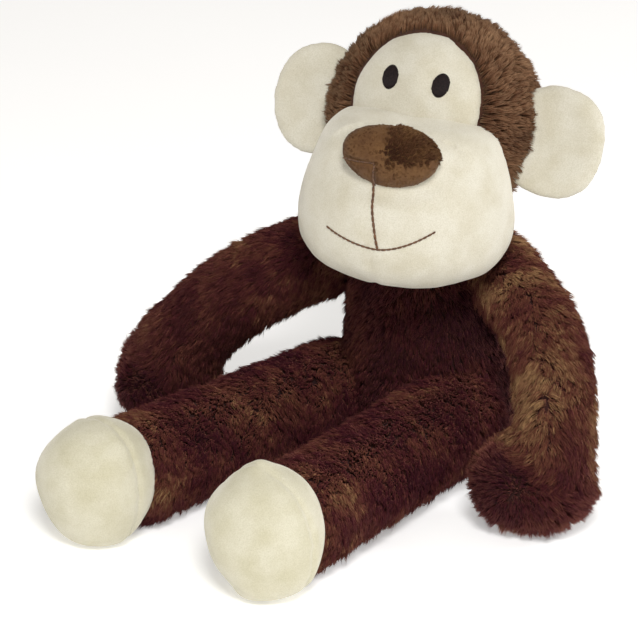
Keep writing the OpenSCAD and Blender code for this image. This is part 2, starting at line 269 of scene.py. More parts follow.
def pile_material(name, stops, root, sheen, sheen_tint):
    """Pile: the map's u is each strand's own tone, and its v runs from root to tip."""
    m = Material(name, roughness=0.7, sheen=sheen, sheen_tint=srgb(*sheen_tint), specular=0.1)
    uv = m.tree.nodes.new("ShaderNodeUVMap")
    uv.uv_map = FUR_UV
    parts = m.node("ShaderNodeSeparateXYZ", Vector=uv.outputs["UV"])
    tone = m.ramp(parts.outputs["X"], [(place, srgb(*colour)) for place, *colour in stops])
    # Darker towards the root: painted shade deep in the pile, lighter at the tips
    painted_root_shade = m.ramp(parts.outputs["Y"], [(0.0, (root, root, root, 1)), (0.5, (0.62, 0.58, 0.58, 1)),
                                        (1.0, (1, 1, 1, 1))])
    m.colour(m.multiply(tone, painted_root_shade))
    return m.material


def backing_material(name, dark, light):
    """The woven backing under the pile."""
    m = Material(name, roughness=0.95, sheen=0.1)
    m.colour(m.ramp(m.noise(140, 4), [(0.3, dark), (0.7, light)]))
    m.bump(m.noise(2500, 2), 0.3, 0.0004)
    return m.material


def velour_material(name, low, high, shade):
    """Short cream pile: a soft sheen, brushed patches and a fine speckle of pile ends."""
    m = Material(name, roughness=0.9, sheen=0.55, sheen_tint=(1, 0.97, 0.9, 1), specular=0.15)
    patches = m.ramp(m.noise(60, 3), [(0.3, low), (0.62, high)])
    speckle = m.ramp(m.noise(1500, 3, 0.7), [(0.3, shade), (0.6, (1, 1, 1, 1))])
    m.colour(m.multiply(patches, speckle))
    m.bump(m.noise(1300, 4, 0.75), 0.55, 0.0006)
    return m.material


def thread_material(name, dark, light, sheen=0.2, specular=0.35):
    m = Material(name, roughness=0.55, sheen=sheen, specular=specular)
    m.colour(m.ramp(m.noise(900, 2), [(0.35, dark), (0.65, light)]))
    m.bump(m.noise(3500, 2), 0.4, 0.0003)
    return m.material


dark_pile = pile_material("dark_pile", [
    (0.0, 46, 6, 27), (0.35, 76, 24, 35), (0.65, 116, 70, 54), (1.0, 184, 150, 104)],
    0.28, sheen=0.32, sheen_tint=(225, 145, 125))
# The head's pile is a lighter brown than the body's: painted light, for the stronger light on the head.
# The neck shares it.
lit_hood_pile = pile_material("lit_hood_pile", [
    (0.0, 72, 40, 28), (0.4, 108, 72, 50), (0.7, 138, 100, 72), (1.0, 176, 140, 106)],
    0.4, sheen=0.3, sheen_tint=(220, 180, 140))
nose_pile = pile_material("nose_pile", [
    (0.0, 56, 26, 18), (0.4, 86, 54, 34), (0.7, 108, 76, 46), (1.0, 136, 102, 66)],
    0.6, sheen=0.2, sheen_tint=(220, 175, 120))
dark_backing = backing_material("dark_backing", srgb(38, 15, 16), srgb(58, 29, 24))
# The head's backing is lighter too: painted light, as with its pile
lit_hood_backing = backing_material("lit_hood_backing", srgb(52, 29, 19), srgb(78, 47, 32))
nose_backing = backing_material("nose_backing", srgb(84, 56, 33), srgb(104, 74, 44))
cream_velour = velour_material("cream_velour", srgb(200, 194, 175), srgb(211, 207, 193),
                               srgb(232, 230, 222))
foot_velour = velour_material("foot_velour", srgb(199, 194, 168), srgb(211, 207, 187),
                              srgb(234, 232, 224))
brown_thread = thread_material("brown_thread", srgb(72, 44, 26), srgb(112, 76, 46))
eye_thread = thread_material("eye_thread", srgb(10, 4, 6), srgb(34, 20, 20), sheen=0, specular=0.2)


# ---------------------------------------------------------------- meshes

def mesh_object(name, verts, faces, material):
    """A mesh from points in millimetres."""
    data = bpy.data.meshes.new(name)
    data.from_pydata((np.asarray(verts) * MM).tolist(), [], [list(f) for f in faces])
    data.polygons.foreach_set("use_smooth", [True] * len(data.polygons))
    data.materials.append(material)
    data.update()
    return add_object(name, data)


def points_of(obj):
    """A piece's points, in millimetres."""
    co = np.zeros(len(obj.data.vertices) * 3, np.float32)
    obj.data.vertices.foreach_get("co", co)
    return co.reshape(-1, 3).astype(float) / MM


def set_points(obj, verts):
    obj.data.vertices.foreach_set("co", (verts * MM).astype(np.float32).ravel())
    obj.data.update()


def modify(obj, kind, **settings):
    """Replaces a piece's mesh by what one modifier makes of it."""
    modifier = obj.modifiers.new(kind.lower(), kind)
    for key, value in settings.items():
        setattr(modifier, key, value)
    graph = bpy.context.evaluated_depsgraph_get()
    made = bpy.data.meshes.new_from_object(obj.evaluated_get(graph), depsgraph=graph)
    old = obj.data
    obj.modifiers.clear()
    obj.data = made
    made.name = obj.name
    bpy.data.meshes.remove(old)
    made.polygons.foreach_set("use_smooth", [True] * len(made.polygons))
    made.update()


def remesh(obj, voxel):
    modify(obj, "REMESH", mode="VOXEL", voxel_size=voxel * MM)


def relax(obj, rounds):
    modify(obj, "SMOOTH", factor=0.5, iterations=rounds)


def subdivide(obj):
    modify(obj, "SUBSURF", levels=1, render_levels=1)


def carve(obj, tool):
    """Takes the tool's shape out of obj, and removes the tool."""
    modify(obj, "BOOLEAN", operation="DIFFERENCE", solver="EXACT", object=tool)
    bpy.data.objects.remove(tool)


def inflate(obj, cap, pinned=None, pressure=4.0, frames=20):
    """Fills a cover with air as Cloth, and keeps every point within cap of where it was."""
    scene = bpy.context.scene
    rest = points_of(obj)
    if pinned is not None:
        group = obj.vertex_groups.new(name="pinned")
        for index, weight in enumerate(pinned):
            if weight > 0:
                group.add([index], float(weight), "REPLACE")
    cloth = obj.modifiers.new("cloth", "CLOTH")
    settings = cloth.settings
    settings.effector_weights.gravity = 0
    settings.use_pressure = True
    settings.uniform_pressure_force = pressure
    settings.tension_stiffness = 12
    settings.compression_stiffness = 12
    settings.bending_stiffness = 0.4
    if pinned is not None:
        settings.vertex_group_mass = "pinned"
    cloth.point_cache.frame_start = 1
    cloth.point_cache.frame_end = frames
    for step in range(1, frames + 1):
        scene.frame_set(step)
    graph = bpy.context.evaluated_depsgraph_get()
    shift = points_of(obj.evaluated_get(graph)) - rest
    length = np.linalg.norm(shift, axis=1, keepdims=True)
    shift *= np.minimum(1, cap / np.maximum(length, 1e-6))
    obj.modifiers.clear()
    scene.frame_set(1)
    set_points(obj, rest + shift)


def triangles(obj):
    """Corner points and corner normals of every triangle of a mesh, in millimetres."""
    data = obj.data
    data.calc_loop_triangles()
    index = np.zeros(len(data.loop_triangles) * 3, np.int32)
    data.loop_triangles.foreach_get("vertices", index)
    normals = np.zeros(len(data.vertices) * 3, np.float32)
    data.vertices.foreach_get("normal", normals)
    index = index.reshape(-1, 3)
    return points_of(obj)[index], normals.reshape(-1, 3).astype(float)[index]


def tree_of(obj):
    """For finding where a ray meets the piece's surface."""
    faces = [list(p.vertices) for p in obj.data.polygons]
    return BVHTree.FromPolygons(points_of(obj).tolist(), faces)


def split(obj, keys, names):
    """Cuts a mesh into pieces: keys gives each face's piece by its middle."""
    verts = points_of(obj)
    faces = [list(p.vertices) for p in obj.data.polygons]
    middles = np.array([verts[f].mean(0) for f in faces])
    which = keys(middles)
    pieces = []
    for number, name in enumerate(names):
        mine = [f for f, k in zip(faces, which) if k == number]
        used = sorted({v for f in mine for v in f})
        place = {v: i for i, v in enumerate(used)}
        pieces.append(mesh_object(name, verts[used], [[place[v] for v in f] for f in mine],
                                  obj.data.materials[0]))
    bpy.data.objects.remove(obj)
    return pieces


def ring_faces(rings, around, first=0):
    """Quads between rings of points that follow each other in the list of points."""
    faces = []
    for i in range(rings - 1):
        a, b = first + i * around, first + (i + 1) * around
        for j in range(around):
            k = (j + 1) % around
            faces.append([a + j, a + k, b + k, b + j])
    return faces


def closed_rings(name, rings, ends, material):
    """A closed skin over rings of points, with one more point in each end."""
    around = len(rings[0])
    verts = np.concatenate(list(rings) + [np.asarray(ends, float)])
    faces = ring_faces(len(rings), around)
    first, last = len(verts) - 2, len(verts) - 1
    end = first - around
    for j in range(around):
        k = (j + 1) % around
        faces.append([first, k, j])
        faces.append([last, end + j, end + k])
    return mesh_object(name, verts, faces, material)


def tube(name, path, radii, material, around=40):
    """A closed tube around a path."""
    path = np.asarray(path, float)
    along = unit(np.gradient(path, axis=0))
    side = unit(np.cross(along[0], [0.3, 0.2, 1]))
    rings = []
    for p, t, r in zip(path, along, radii):
        side = unit(side - t * (side @ t))
        other = np.cross(t, side)
        turn = np.linspace(0, 2 * np.pi, around, endpoint=False)[:, None]
        rings.append(p + r * (np.cos(turn) * side + np.sin(turn) * other))
    return closed_rings(name, rings, [path[0], path[-1]], material)


def turned(name, profile, material, around, place):
    """A closed body of revolution about z, from (radius, height) pairs, bottom to top.
    place(points) puts it where it belongs."""
    turn = 2 * np.pi * np.arange(around) / around
    rings = [np.stack([r * np.cos(turn), r * np.sin(turn), np.full(around, float(z))], axis=1)
             for r, z in profile]
    ends = np.array([[0, 0, profile[0][1]], [0, 0, profile[-1][1]]], float)
    return closed_rings(name, [place(ring) for ring in rings], place(ends), material)


def ball(name, middle, radii, material, around=48):
    steps = 28
    profile = [(max(0.02, math.sin(math.pi * i / steps)), -math.cos(math.pi * i / steps))
               for i in range(steps + 1)]
    return turned(name, profile, material, around,
                  lambda v: np.asarray(middle) + v * np.asarray(radii))


def distance_along(line):
    return np.concatenate([[0], np.cumsum(np.linalg.norm(np.diff(line, axis=0), axis=1))])


def smooth_line(points, samples):
    """A smooth line through the points, with this many samples from one to the next."""
    points = np.asarray(points, float)
    padded = np.vstack([2 * points[0] - points[1], points, 2 * points[-1] - points[-2]])
    line = []
    for i in range(len(points) - 1):
        a, b, c, d = padded[i:i + 4]
        for t in np.linspace(0, 1, samples, endpoint=False):
            line.append(0.5 * (2 * b + (c - a) * t + (2 * a - 5 * b + 4 * c - d) * t * t
                               + (3 * b - a - 3 * c + d) * t ** 3))
    line.append(points[-1])
    return np.array(line)


# ---------------------------------------------------------------- pile

ROOT_DEPTH = 0.7
LOWER_SHARE = 0.52
FLOOR_GAP = 0.25


def grow(name, obj, per_mm2, comb, material, length=9.0, width=0.35, lean=(38, 66), clump=11.0,
         tone=0.5, patch=22.0, hold=0.4, seed=1, keep=None, limit=18500, sag=0.15, spread=1.0,
         local=None, vary=1.0):
    """Grows pile on obj. Strands gather into tufts, and lie along comb(points, normals).
    lean is how far a strand leans from the surface's normal at its root and its tip, in
    degrees. keep(points) says which roots grow. hold is how tightly a tuft gathers, vary is
    how uneven the tufts' lengths are, and local(points) gives each tuft's own share of the
    length, change of tone and extra lean.
    The swirls and patches are one field over the whole toy, so they cross from piece to piece."""
    rng = np.random.default_rng(seed)
    corners, normals = triangles(obj)
    area = np.linalg.norm(np.cross(corners[:, 1] - corners[:, 0], corners[:, 2] - corners[:, 0]),
                          axis=1) / 2
    total = float(area.sum())

    def scatter(count):
        face = rng.choice(len(area), size=count, p=area / total)
        a = np.sqrt(rng.random(count))[:, None]
        b = rng.random(count)[:, None]
        weight = np.stack([1 - a, a * (1 - b), a * b], axis=1)
        return ((corners[face] * weight).sum(1), unit((normals[face] * weight).sum(1)))

    roots, up_from = scatter(min(int(total * per_mm2), 4 * limit))
    if keep is not None:
        kept = keep(roots)
        roots, up_from = roots[kept], up_from[kept]
    if len(roots) > limit:
        roots, up_from = roots[:limit], up_from[:limit]
    count = len(roots)

    # Tufts: each has its own direction, length and tone
    tufts, tuft_up = scatter(max(8, int(total / clump)))
    swirl = cloud_vectors(tufts, 9, 81) * 0.55 + cloud_vectors(tufts, 26, 82) * 0.75
    tuft_comb = unit(flatten_along(unit(comb(tufts, tuft_up)) + spread * swirl, tuft_up))
    uneven = 0.2 * cloud(tufts, 7, 83) + rng.normal(0, 0.1, len(tufts))
    tuft_length = length * (1 + vary * uneven)
    tuft_lean = rng.normal(0, 6, len(tufts)) + 8 * cloud(tufts, 12, 84)
    tuft_tone = (tone + 0.32 * cloud(tufts, patch, 85) + 0.22 * cloud(tufts, 7, 86)
                 + 0.3 * cloud(tufts, 48, 90) + rng.normal(0, 0.04, len(tufts)))
    if local is not None:
        share, change, more_lean = local(tufts)
        tuft_length = tuft_length * share
        tuft_tone = tuft_tone + change
        tuft_lean = tuft_lean + more_lean
    lookup = KDTree(len(tufts))
    for i, p in enumerate(tufts):
        lookup.insert(p, i)
    lookup.balance()
    mine = np.array([lookup.find(p)[1] for p in roots])

    def shape(p, n, c, tall, root_lean, tip_lean):
        a = np.radians(root_lean)[:, None]
        b = np.radians(tip_lean)[:, None]
        start = p - ROOT_DEPTH * n
        middle = start + (n * np.cos(a) + c * np.sin(a)) * tall[:, None] * LOWER_SHARE
        tip_way = unit(n * np.cos(b) + c * np.sin(b) + np.array([0, 0, -sag]))
        return start, middle, middle + tip_way * tall[:, None] * (1 - LOWER_SHARE)

    own_comb = unit(flatten_along(tuft_comb[mine] + rng.normal(0, 0.22, (count, 3)), up_from))
    tall = tuft_length[mine] * (1 + rng.normal(0, 0.1, count))
    root_lean = np.clip(lean[0] + tuft_lean[mine] + rng.normal(0, 6, count), 4, 82)
    tip_lean = np.clip(lean[1] + tuft_lean[mine] + rng.normal(0, 8, count), 6, 96)
    start, middle, tip = shape(roots, up_from, own_comb, tall, root_lean, tip_lean)
    _, tuft_middle, tuft_tip = shape(tufts, tuft_up, tuft_comb, tuft_length,
                                     np.clip(lean[0] + tuft_lean, 4, 82),
                                     np.clip(lean[1] + tuft_lean, 6, 96))
    pull = np.clip(hold + rng.normal(0, 0.12, count), 0, 0.9)[:, None]
    tip = tip + pull * (tuft_tip[mine] - tip)
    middle = middle + 0.45 * pull * (tuft_middle[mine] - middle)

    # Each strand is a three-sided spike: a ring at its root, one half way, and a tip
    way = unit(tip - start)
    side = unit(np.cross(way, up_from + rng.normal(0, 0.3, (count, 3))))
    other = np.cross(way, side)
    phase = rng.random(count) * 2 * np.pi
    thick = width * np.clip(rng.normal(1, 0.18, count), 0.6, 1.5)[:, None]
    verts = np.empty((count, 7, 3))
    for k in range(3):
        a = (phase + k * 2 * np.pi / 3)[:, None]
        ring = np.cos(a) * side + np.sin(a) * other
        verts[:, k] = start + ring * thick
        verts[:, 3 + k] = middle + ring * thick * 0.82
    verts[:, 6] = tip
    verts[..., 2] = np.maximum(verts[..., 2], FLOOR_GAP)

    shade = np.clip(tuft_tone[mine] + rng.normal(0, 0.09, count), 0.03, 0.97)
    return build_pile(name, verts, shade, material)


# One strand: its faces, and each point's height along it and shift of tone across it
PILE_FACES = [[2, 1, 0], [0, 1, 4, 3], [1, 2, 5, 4], [2, 0, 3, 5], [3, 4, 6], [4, 5, 6], [5, 3, 6]]
PILE_HEIGHT = [0.03, 0.03, 0.03, 0.5, 0.5, 0.5, 0.97]
PILE_ACROSS = [-0.02, 0.0, 0.02, -0.02, 0.0, 0.02, 0.0]


def build_pile(name, verts, shade, material):
    count = len(verts)
    pattern = np.concatenate([np.array(f) for f in PILE_FACES])
    sizes = np.array([len(f) for f in PILE_FACES])
    data = bpy.data.meshes.new(name)
    data.vertices.add(count * 7)
    data.vertices.foreach_set("co", (verts * MM).astype(np.float32).ravel())
    loops = (pattern[None, :] + 7 * np.arange(count)[:, None]).astype(np.int32)
    data.loops.add(loops.size)
    data.loops.foreach_set("vertex_index", loops.ravel())
    starts = np.cumsum(np.tile(sizes, count)) - np.tile(sizes, count)
    data.polygons.add(len(starts))
    data.polygons.foreach_set("loop_start", starts.astype(np.int32))
    data.polygons.foreach_set("use_smooth", np.ones(len(starts), bool))
    layer = data.uv_layers.new(name=FUR_UV)
    across = np.array(PILE_ACROSS)[pattern]
    height = np.array(PILE_HEIGHT)[pattern]
    uv = np.empty((count, len(pattern), 2), np.float32)
    uv[..., 0] = np.clip(shade[:, None] + across[None, :], 0, 1)
    uv[..., 1] = height[None, :]
    layer.data.foreach_set("uv", uv.ravel())
    data.materials.append(material)
    data.update(calc_edges=True)
    return add_object(name, data)


# ---------------------------------------------------------------- limbs

def nearest_on(line, points):
    """Index of the nearest sample of a line for each point."""
    found = np.empty(len(points), int)
    for i in range(0, len(points), 4000):
        block = points[i:i + 4000]
        found[i:i + 4000] = ((block[:, None] - line[None]) ** 2).sum(2).argmin(1)
    return found


def limb(line, step, radii, names, nodes, comb, seed, options, shape):
    """A soft tube with pile, cut halfway between joints so that each piece holds one.
    step is the number of the line's samples from one joint to the next."""
    hide = tube("limb", line, radii, dark_backing)
    remesh(hide, 4.5)
    inflate(hide, 4.0)
    relax(hide, 2)
    set_points(hide, shape(points_of(hide)))
    subdivide(hide)
    verts = points_of(hide)
    verts[:, 2] = np.maximum(verts[:, 2], 0.6)
    set_points(hide, verts)

    def which(middles):
        return np.searchsorted([1.5 * step, 2.5 * step], nearest_on(line, middles))

    pieces = split(hide, which, [n + "_fabric" for n in names])
    for number, (piece, name) in enumerate(zip(pieces, names)):
        fur = grow(name + "_pile", piece, comb=comb, material=dark_pile, seed=seed + number,
                   **options[number])
        for obj in (piece, fur):
            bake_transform(obj)
        if nodes[number]:
            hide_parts(*nodes[number])


def limb_nodes(side, part, faces):
    return [f"{side}_{part}_{face}" for face in faces + ("stuffing",)]


# Which way the end of each hand faces, where its pile parts
HAND_POLE = {"left": unit(np.array([0.14, -0.98, 0.06])), "right": unit(np.array([-0.35, -0.9, 0.1]))}
HAND_LONG = {"left": unit(np.array([-0.79, -0.61, -0.05])), "right": unit(np.array([-0.3, -0.4, -0.6]))}
HAND_STRETCH = {"left": 0.24, "right": 0.06}
ARM_R = {"left": 19.5, "right": 22.8}
HAND_R = {"left": 27.0, "right": 27.5}
CAP_R = {"left": 19.5, "right": 22.5}
CAP_SHIFT = {"left": np.array([4.6, 3.0, 0]), "right": np.zeros(3)}
ELBOW_SHIFT = {"left": np.array([-4.2, -3.2, 0]), "right": np.zeros(3)}
WRIST_SHIFT = {"left": np.array([-3.2, -1.2, 0]), "right": np.zeros(3)}
PALM_SHIFT = {"left": np.array([-5.5, 1.0, -1.0]), "right": np.array([2.0, 1.5, 0])}
# Painted shade: the right arm's pile is made darker, for its side turned away from the light
ARM_PAINTED_SHADE = {"left": -0.02, "right": -0.16}


def make_arm(side):
    shoulder = pivot(side + "_shoulder_raise")
    elbow = pivot(side + "_elbow_bend")
    wrist = pivot(side + "_wrist_bend")
    palm = box_middle(*[f"{side}_hand_{p}" for p in ("front_panel", "back_panel")])
    arm_r, hand_r = ARM_R[side], HAND_R[side]
    palm = palm + PALM_SHIFT[side]
    upper, fore, out = unit(elbow - shoulder), unit(wrist - elbow), unit(palm - wrist)
    tip = palm + out * hand_r
    bend = elbow + ELBOW_SHIFT[side]
    cap = shoulder + CAP_SHIFT[side]
    # The tube starts inside the torso, on its way to the torso's middle
    inward = unit((pivot("neck_turn") - cap) * [1, 1, 0])
    root = cap + inward * 15 - upper * 7
    step = 16
    line = smooth_line([root, cap, bend, wrist + WRIST_SHIFT[side], palm, tip], step)
    run = distance_along(line)
    past_elbow, at_palm = run[2 * step + 2], run[4 * step]
    rounding = np.sqrt(np.clip(hand_r ** 2 - (run - at_palm) ** 2, 0.5, None))
    sleeve = arm_r + (CAP_R[side] - arm_r) * (1 - smoothstep(run, 38, 82))
    swell = np.where(run > at_palm, rounding,
                     sleeve + (hand_r - sleeve) * smoothstep(run, at_palm - 42, at_palm - 4))
    start = np.sqrt(np.clip(14 ** 2 - np.clip(14 - run, 0, None) ** 2, 1, None)) / 14
    radii = swell * start
    pole = HAND_POLE[side]

    def comb(points, normals):
        near = nearest_on(line, points)
        way = unit(np.gradient(line, axis=0))[near]
        from_pole = unit(points - palm)
        facing = from_pole @ pole
        on_hand = smoothstep(run[near], at_palm - 24, at_palm - 6)[:, None]
        outward = unit(flatten_along(from_pole - pole, normals))
        # Where arm pile and hand pile meet they turn aside together, not against each other
        aside = np.cross(way, normals) * (4 * on_hand * (1 - on_hand))
        strength = 0.35 + 0.65 * smoothstep(facing, -0.7, 0.5)[:, None]
        return (way * (1 - on_hand) + outward * on_hand * strength + 0.8 * aside
                + np.array([0, 0, -0.25]))

    def stretch(points):
        long = HAND_LONG[side]
        near = smoothstep(run[nearest_on(line, points)], at_palm - 26, at_palm)
        points = points + (near * ((points - palm) @ long) * HAND_STRETCH[side])[:, None] * long
        points[:, 2] -= near * (points[:, 2] - palm[2]) * 0.06
        return points

    def local(points):
        """The forearm is painted lighter, a painted sheen where light falls on it; the right arm is
        painted darker, as painted shade; and the hand is darkest where its pile parts.
        """
        facing = unit(points - palm) @ pole
        along = run[nearest_on(line, points)]
        near = smoothstep(along, at_palm - 24, at_palm - 6)
        # Painted sheen: a lighter band along the forearm, where light catches its pile
        painted_sheen = (smoothstep(along, 20, past_elbow)
                   * (1 - smoothstep(along, at_palm - 32, at_palm - 10)))
        share = 1 - 0.25 * near * smoothstep(facing, 0.5, 0.95)
        change = (1 - near) * ARM_PAINTED_SHADE[side] + 0.2 * painted_sheen - 0.05 * near
        return share, change - 0.25 * near * smoothstep(facing, 0.3, 0.95), -22 * near

    options = [dict(per_mm2=2.4, length=9.6, limit=18500, clump=7) for _ in range(2)]
    options.append(dict(per_mm2=2.0, length=9.4, limit=19800, clump=8))
    for option in options:
        option.update(lean=(38, 64), tone=0.46, hold=0.35, local=local)
    faces = ("front_panel", "back_panel")
    limb(line, step, radii, [side + "_shoulder", side + "_elbow", side + "_hand"],
         [limb_nodes(side, "upper_arm", faces), limb_nodes(side, "forearm", faces),
          limb_nodes(side, "hand", faces)],
         comb, 100 if side == "left" else 200, options, stretch)


LEG_R = 28.0
LEG_TONE = {"left": (0.3, 0.46), "right": (0.34, 0.46)}


def make_leg(side):
    hip = pivot(side + "_hip_swing")
    knee = pivot(side + "_knee_bend")
    ankle = pivot(side + "_ankle_bend")
    way = unit(ankle - hip)
    seam = ankle + way * 3
    step = 20
    line = smooth_line([hip - way * 26, hip, knee, ankle, seam], step)
    run = distance_along(line)
    start = np.sqrt(np.clip(26 ** 2 - np.clip(26 - run, 0, None) ** 2, 4, None)) / 26
    end = run[-1]
    radii = LEG_R * start * (1 + 0.04 * smoothstep(run, end - 40, end - 10))

    def comb(points, normals):
        flow = np.tile(way, (len(points), 1))
        curl = cloud_vectors(points, 18, 4) * 0.55
        return flow * 0.7 + curl + np.array([0, 0, -0.45])

    def crease(points):
        """A soft fold on top of the knee, where the leg flops."""
        near = (points - knee) @ way
        top = np.clip((points[:, 2] - knee[2]) / LEG_R, 0, 1)
        return points - np.outer(2.6 * bell(near, 6) * top, [0, 0, 1])

    def local(points):
        """Lighter towards the foot."""
        low, high = LEG_TONE[side]
        return 1, low + (high - low) * smoothstep(run[nearest_on(line, points)], 40, end - 20), 0

    options = [dict(per_mm2=1.6, length=8.6, limit=19800) for _ in range(2)]
    options.append(dict(per_mm2=1.9, length=8.2, limit=17000))
    for option in options:
        option.update(lean=(34, 60), clump=8, tone=0, hold=0.3, spread=0.65, width=0.42,
                      local=local)
    faces = ("outer_panel", "inner_panel")
    limb(line, step, radii, [side + "_hip", side + "_knee", side + "_ankle"],
         [limb_nodes(side, "thigh", faces), limb_nodes(side, "shin", faces), []],
         comb, 300 if side == "left" else 400, options, crease)


# ---------------------------------------------------------------- feet

FOOT_PROFILE = [(1, 1.2), (13.5, 1.0), (18.5, 2.6), (23.4, 7), (28, 13.6), (31.6, 21), (34, 30),
                (34.8, 39), (34.2, 48), (31.8, 56.5), (27.2, 64), (20.4, 69.8), (12, 73), (1, 74)]


def make_foot(side):
    nodes = [f"{side}_foot_{p}" for p in ("sole_panel", "ankle_panel", "stuffing")]
    middle = box_middle(*nodes[:2])
    ankle = pivot(side + "_ankle_bend")
    way = unit((middle - ankle) * [1, 1, 0])
    across = np.array([-way[1], way[0], 0])

    def place(v):
        return v + [middle[0], middle[1], 0] + [2.2, 1.7, 0]

    foot = turned(side + "_foot_fabric", FOOT_PROFILE, foot_velour, 56, place)
    remesh(foot, 4.0)
    rest = points_of(foot)
    ahead = (rest - middle) @ way
    seam_at = -2.0 if side == "left" else -6.0
    seam_near = bell(ahead - seam_at, 3.2)
    floor_pin = (rest[:, 2] < 2.5) * 1.0
    inflate(foot, 3.0, pinned=np.maximum(seam_near * 0.9, floor_pin))
    relax(foot, 1)
    subdivide(foot)
    v = points_of(foot)
    ahead = (v - middle) @ way
    sideways = (v - middle) @ across
    outward = unit((v - middle) * [1, 1, 0.8])
    lean = -0.16 if side == "left" else -0.03
    taper = 0.07 if side == "left" else 0.0
    # The seam between sole and ankle panel is pulled in, and puckers at the top
    groove = 2.0 * bell(ahead - seam_at, 1.7)
    pucker = 0.7 * cloud(v, 6, 21 if side == "left" else 22) * bell(ahead - seam_at, 8)
    tip = 5.5 if side == "left" else 1.5
    peak = tip * bell(ahead + 5, 9) * bell(sideways - 3, 9) * smoothstep(v[:, 2], 56, 74)
    soft = 1.5 * cloud(v, 24, 31 if side == "left" else 32)
    v = v + outward * (pucker - groove + soft)[:, None]
    v[:, 2] += peak
    # One flat patch where the filling has shifted
    v -= outward * (3.6 * bell(sideways + 22, 12) * bell(v[:, 2] - 66, 13))[:, None]
    v += across * (lean * (v[:, 2] - 38) * smoothstep(v[:, 2], 0, 12))[:, None]
    v -= across * (sideways * taper * (1 - smoothstep(v[:, 2], 10, 55)))[:, None]
    v[:, 2] = np.clip(v[:, 2], 0.3, None)
    set_points(foot, v)
    subdivide(foot)
    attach(foot, side + "_foot")
    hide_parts(*nodes)


# ---------------------------------------------------------------- torso and neck

TORSO_PROFILE = [(1, 1.2), (27, 1.0), (38, 2.4), (45, 7), (49.2, 15), (50.8, 27), (50.6, 42),
                 (49.6, 58), (48, 76), (46.4, 94), (43.4, 108), (39, 121), (33.5, 132),
                 (27, 141), (19, 147), (8, 150.5), (1, 151)]


def make_torso():
    middle = box_middle("torso_front_panel", "torso_back_panel")
    low = np.array([2.0, 2.0])
    lean = pivot("neck_turn")[:2] - low

    def place(v):
        share = (v[:, 2:3] / 150) ** 1.5
        return v + np.concatenate([low + share * lean, np.zeros((len(v), 1))], axis=1)

    hide = turned("torso_fabric", TORSO_PROFILE, dark_backing, 72, place)
    remesh(hide, 5.0)
    inflate(hide, 3.5, pinned=(points_of(hide)[:, 2] < 3) * 1.0)
    relax(hide, 1)
    subdivide(hide)
    v = points_of(hide)
    v[:, 2] = np.maximum(v[:, 2], 0.8)
    set_points(hide, v)

    def comb(points, normals):
        around = unit((points - middle) * [1, 1, 0])
        return np.array([0, 0, -1.0]) + 0.25 * around + 0.5 * cloud_vectors(points, 30, 6)

    # The torso's low tone (0.22) is painted shade, for the shadow the head casts on it
    for number, (name, sign) in enumerate((("torso_front_pile", -1), ("torso_back_pile", 1))):
        fur = grow(name, hide, 2.0, comb, dark_pile, length=8.6, lean=(30, 58), tone=0.22, clump=9,
                   seed=500 + number, limit=19800, spread=1.15, width=0.46,
                   keep=lambda p, s=sign: ((p[:, 1] - middle[1]) * s > 0) & (p[:, 2] < 146)
                   & (p[:, 2] > 3))
        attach(fur, "torso")
    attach(hide, "torso")
    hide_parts("torso_front_panel", "torso_back_panel", "torso_stuffing")

    # A short neck between torso and head
    neck_at = pivot("head_nod")
    neck = tube("neck_fabric", [neck_at + [0, 0, z] for z in (-16, -9, -2, 5, 12, 17)],
                [20, 24, 25, 24, 21, 12], lit_hood_backing)
    subdivide(neck)
    fur = grow("neck_pile", neck, 0.8, lambda p, n: np.tile([0, 0, -1.0], (len(p), 1)), lit_hood_pile,
               length=7.5, lean=(35, 60), tone=0.4, seed=520, limit=6000)
    for obj in (neck, fur):
        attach(obj, "neck")
    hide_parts("neck_sleeve", "neck_stuffing")


# ---------------------------------------------------------------- head

HEAD_R = 60.5
WINDOW_R, WINDOW_X, WINDOW_UP = 39.5, -1.5, 16.5
MUZZLE_BASE = np.array([0, -42.0, -83.0])
MUZZLE_TILT = math.radians(6)
MUZZLE_PROFILE = [(1, 0.8), (23, 0.6), (37, 1.2), (48, 4.2), (56.4, 9.6), (61.6, 17), (64, 26),
                  (64.2, 35), (62.8, 46), (60.2, 57), (57, 67), (54, 75.5), (50.6, 83),
                  (45.4, 89.4), (37.5, 93.4), (25, 95.6), (12, 96.4), (1, 96.6)]
THROAT_AT, THROAT_R = np.array([0, 26.0, -78.0]), 75.0


def tilted(v, angle):
    """Points turned about the x axis."""
    c, s = math.cos(angle), math.sin(angle)
    return np.stack([v[:, 0], v[:, 1] * c - v[:, 2] * s, v[:, 1] * s + v[:, 2] * c], axis=1)


def muzzle_place(v):
    """From the muzzle's own upright frame to the head's frame."""
    return tilted(v, MUZZLE_TILT) + MUZZLE_BASE


def window_edge(p):
    """How far outside the face window each head-frame point lies, seen from the front."""
    above = np.maximum(p[:, 2] - WINDOW_UP, 0)
    return np.where(p[:, 1] < 0, np.hypot(p[:, 0] - WINDOW_X, above) - WINDOW_R, 60.0)


def in_muzzle(p):
    """True where a head-frame point is well inside the muzzle."""
    x, y, z = tilted(p - MUZZLE_BASE, -MUZZLE_TILT).T
    width = np.interp(z, [h for _, h in MUZZLE_PROFILE], [r for r, _ in MUZZLE_PROFILE])
    return (np.hypot(x, y) < width - 5) & (z > 4) & (z < 92)


